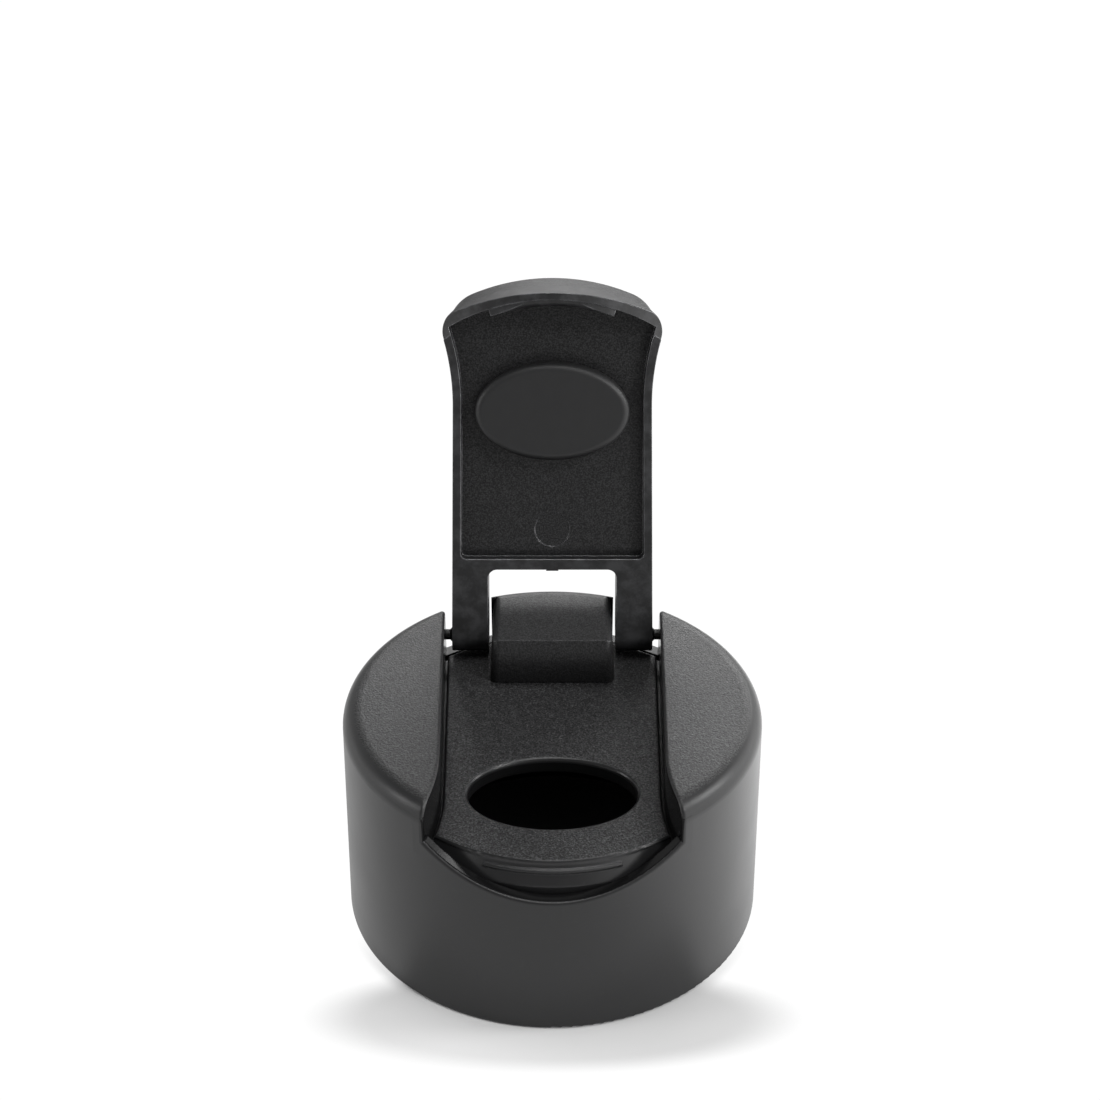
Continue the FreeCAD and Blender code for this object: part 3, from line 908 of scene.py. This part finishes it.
@dataclass(frozen=True)
class PaleFloor:
    """Pale floor: white for the camera, with the cap's shadow shown in painted shadow and shade, and
    clear from below.
    """

    half: float = 2.0
    # Grey of the matt floor, darker towards the right as painted shade.
    matt: Band = (0.67, 0.49)
    right_shade_band: Band = (-14.0 * MM, 22.0 * MM)
    # Painted shade: the floor under the cap is dark and gets no white glow.
    painted_shade_under_cap: float = 0.18
    painted_shade_radius: float = 24.0 * MM
    painted_shade_fade: float = 1.0 * MM
    white: float = 1.03
    right_reflection_glow: float = 1.9
    right_band: Band = (10.0 * MM, 50.0 * MM)
    far_reflection_share: float = 0.12
    far_band: Band = (0.10, 0.42)
    shadow_centre: float = -24.5 * MM
    shadow_half_width: float = 27.0 * MM
    shadow_half_depth: float = 8.0 * MM
    shadow_glow: float = 0.10
    shadow_band: Band = (0.82, 1.20)
    contact_radius: float = 26.4 * MM
    contact_fade: float = 1.8 * MM
    contact_front: Band = (-8.0 * MM, -22.0 * MM)
    contact_glow: float = 0.45

    def sheet(self) -> bpy.types.Object:
        """Makes the floor's flat sheet and returns it."""
        half = self.half
        mesh = bpy.data.meshes.new("studio_floor")
        corners = [(-half, -half, 0.0), (half, -half, 0.0), (half, half, 0.0), (-half, half, 0.0)]
        mesh.from_pydata(corners, [], [(0, 1, 2, 3)])
        return bpy.data.objects.new("studio_floor", mesh)

    def brightness(self, book: NodeBook, across: Socket, depth: Socket, mirrored: Socket) -> Socket:
        """Strength of the white: even for the camera; as painted reflection, stronger on the right and
        weaker far back.

        Args:
            book: the tree's node book.
            across: the floor's X.
            depth: the floor's Y.
            mirrored: 1 where a reflection sees the floor.

        Returns:
            The strength's socket.
        """
        # Painted reflection: in reflections only, the floor glows brighter on the right and fainter far
        # back.
        right = book.ramp(across, self.right_band, (self.white, self.right_reflection_glow))
        far = book.ramp(depth, self.far_band, (1.0, self.far_reflection_share))
        return book.between(mirrored, self.white, book.product(right, far))

    def glow(self, book: NodeBook, across: Socket, depth: Socket, reach: Socket) -> Socket:
        """Share of the white: full in the open, less in a painted shadow oval and a painted contact
        shadow at the front of the foot.

        Args:
            book: the tree's node book.
            across: the floor's X.
            depth: the floor's Y.
            reach: distance from the cap's axis.

        Returns:
            The share's socket.
        """
        # Painted shadow: the white glow is low in an oval in front of the cap and at its foot, so the
        # matt floor's real shade shows there.
        ahead = book.maths("SUBTRACT", depth, self.shadow_centre)
        oval = book.length(
            book.maths("DIVIDE", across, self.shadow_half_width),
            book.maths("DIVIDE", ahead, self.shadow_half_depth))
        shadow = book.ramp(oval, self.shadow_band, (self.shadow_glow, 1.0))
        foot = (self.contact_radius, self.contact_radius + self.contact_fade)
        near = book.product(book.ramp(reach, foot, FALL), book.ramp(depth, self.contact_front))
        contact_shadow = book.maths("SUBTRACT", 1.0, book.product(near, 1.0 - self.contact_glow))
        return book.product(shadow, contact_shadow)

    def finish(self) -> bpy.types.Material:
        """Makes the floor's material.

        Returns:
            The finished material.
        """
        material = bpy.data.materials.new("pale_floor")
        material.use_nodes = True
        book = NodeBook(material.node_tree)
        across, depth, _ = book.split(book.add("ShaderNodeTexCoord").outputs["Object"])
        reach = book.length(across, depth)
        rays = book.add("ShaderNodeLightPath").outputs
        # Painted shade: a dark disc on the floor under the cap, with no white glow.
        outside = book.ramp(reach, (self.painted_shade_radius, self.painted_shade_radius + self.painted_shade_fade))
        # Painted shade: the matt floor is greyer towards the right.
        grey = book.ramp(across, self.right_shade_band, self.matt)
        matt = book.add("ShaderNodeBsdfDiffuse", {
            "Color": book.blend(outside, rgba((self.painted_shade_under_cap,) * 3), grey)})
        bright = self.brightness(book, across, depth, rays["Is Glossy Ray"])
        white = book.add("ShaderNodeEmission", {"Color": WHITE, "Strength": bright})
        seen = book.maths("ADD", rays["Is Camera Ray"], rays["Is Glossy Ray"])
        seen = book.maths("ADD", seen, rays["Is Transmission Ray"], clamp=True)
        share = book.product(seen, outside, self.glow(book, across, depth, reach))
        lit = book.add("ShaderNodeMixShader", {0: share, 1: matt.outputs[0], 2: white.outputs[0]})
        below = book.add("ShaderNodeNewGeometry").outputs["Backfacing"]
        clear = book.add("ShaderNodeBsdfTransparent")
        floor = book.add("ShaderNodeMixShader", {0: below, 1: lit.outputs[0], 2: clear.outputs[0]})
        book.add("ShaderNodeOutputMaterial", {"Surface": floor.outputs[0]})
        return material

    def build(self) -> None:
        """Lays the floor."""
        piece = self.sheet()
        bpy.context.scene.collection.objects.link(piece)
        piece.data.materials.append(self.finish())


@dataclass(frozen=True)
class Backdrop:
    """World light: bright low down around the cap, most of all beside it, and dark above."""

    dark: float = 0.16
    bright: float = 0.80
    right: float = 1.3
    front: float = 0.56
    sides: float = 1.5
    low_band: Band = (0.30, 0.85)
    behind_band: Band = (-0.45, 0.75)
    behind_rise: Band = (0.0, 0.35)
    behind_foot: float = 0.35
    right_band: Band = (0.15, 0.85)
    front_band: Band = (-0.20, -0.75)
    front_low: Band = (0.03, 0.20)
    sides_band: Band = (0.55, 0.85)
    sides_low: Band = (0.05, 0.35)

    def strength(self, book: NodeBook) -> Socket:
        """How strongly the backdrop lights the cap from each direction.

        Args:
            book: the tree's node book.

        Returns:
            The strength's socket.
        """
        across, depth, height = book.split(book.add("ShaderNodeTexCoord").outputs["Generated"])
        low = book.ramp(height, self.low_band, FALL)
        behind = book.product(
            book.ramp(depth, self.behind_band), low,
            book.ramp(height, self.behind_rise, (self.behind_foot, 1.0)))
        right = book.product(book.ramp(across, self.right_band), low)
        front = book.product(book.ramp(depth, self.front_band), book.ramp(height, self.front_low, FALL))
        sides = book.product(
            book.ramp(book.maths("ABSOLUTE", across), self.sides_band),
            book.ramp(height, self.sides_low, FALL))
        level = self.dark
        for part, most in (
            (behind, self.bright - self.dark),
            (right, self.right),
            (front, self.front),
            (sides, self.sides),
        ):
            level = book.maths("ADD", level, book.product(part, most))
        return level

    def build(self) -> None:
        """Sets up the world, which is plain white for the camera."""
        world = bpy.data.worlds.new("studio")
        bpy.context.scene.world = world
        world.use_nodes = True
        book = NodeBook(world.node_tree)
        light = book.add("ShaderNodeBackground", {"Color": WHITE, "Strength": self.strength(book)})
        seen = book.add("ShaderNodeBackground", {"Color": WHITE, "Strength": 1.0})
        rays = book.add("ShaderNodeLightPath").outputs
        through = book.maths("ADD", rays["Is Camera Ray"], rays["Is Transmission Ray"], clamp=True)
        both = book.add("ShaderNodeMixShader", {0: through, 1: light.outputs[0], 2: seen.outputs[0]})
        book.add("ShaderNodeOutputWorld", {"Surface": both.outputs[0]})


@dataclass(frozen=True)
class Softbox:
    """One rectangular studio lamp."""

    name: str
    place: Place
    width: float
    height: float
    power: float

    def build(self, target: Vector) -> None:
        """Hangs the lamp and turns it to the target.

        Args:
            target: the point it shines at.
        """
        lamp = bpy.data.lights.new(self.name, "AREA")
        lamp.shape = "RECTANGLE"
        lamp.size = self.width
        lamp.size_y = self.height
        lamp.energy = self.power
        holder = bpy.data.objects.new(self.name, lamp)
        holder.location = self.place
        holder.rotation_euler = (target - Vector(self.place)).to_track_quat("-Z", "Y").to_euler()
        bpy.context.scene.collection.objects.link(holder)
        log.info("hung %s", self.name)


@dataclass(frozen=True)
class PhotoCamera:
    """Camera that stands where the photograph was taken."""

    lens: float = 65.45
    sensor: float = 36.0
    place: Place = (-0.30 * MM, -199.9 * MM, 177.3 * MM)
    below_level: float = math.radians(32.15)
    clip: Band = (10.0 * MM, 20.0)

    def build(self) -> None:
        """Sets up the camera."""
        data = bpy.data.cameras.new("photo_camera")
        data.lens = self.lens
        data.sensor_width = self.sensor
        data.clip_start, data.clip_end = self.clip
        holder = bpy.data.objects.new("photo_camera", data)
        holder.location = self.place
        holder.rotation_euler = (math.radians(90.0) - self.below_level, 0.0, 0.0)
        bpy.context.scene.collection.objects.link(holder)
        bpy.context.scene.camera = holder


@dataclass(frozen=True)
class Studio:
    """Floor, backdrop, lamps and camera around the cap."""

    floor: PaleFloor = PaleFloor()
    backdrop: Backdrop = Backdrop()
    camera: PhotoCamera = PhotoCamera()
    boxes: tuple[Softbox, ...] = (
        Softbox("top_softbox", (0.05, 0.02, 0.90), width=0.45, height=0.35, power=3.4),
        Softbox("back_softbox", (0.18, 0.86, 0.46), width=0.80, height=0.26, power=4.6),
        Softbox("right_softbox", (0.60, 0.02, 0.40), width=0.14, height=0.20, power=1.5),
        Softbox("left_softbox", (-0.62, -0.10, 0.34), width=0.14, height=0.25, power=0.9),
        Softbox("front_fill", (0.50, -0.36, 0.62), width=0.15, height=0.15, power=2.8),
    )

    def build(self) -> None:
        """Sets up the floor, the light and the camera."""
        self.floor.build()
        self.backdrop.build()
        low, high = CAD_BOX
        for box in self.boxes:
            box.build((low + high) / 2)
        self.camera.build()
        bpy.context.scene.view_settings.view_transform = "Standard"


def main() -> None:
    """Builds the cap's sub-assemblies in order, then the studio."""
    logging.basicConfig(level=logging.INFO, format="%(message)s")
    for part in (Skirt(), DrinkingInsert(), FlipLid(), Studio()):
        part.build()
        log.info("finished %s", type(part).__name__)


if __name__ == "__main__":
    main()
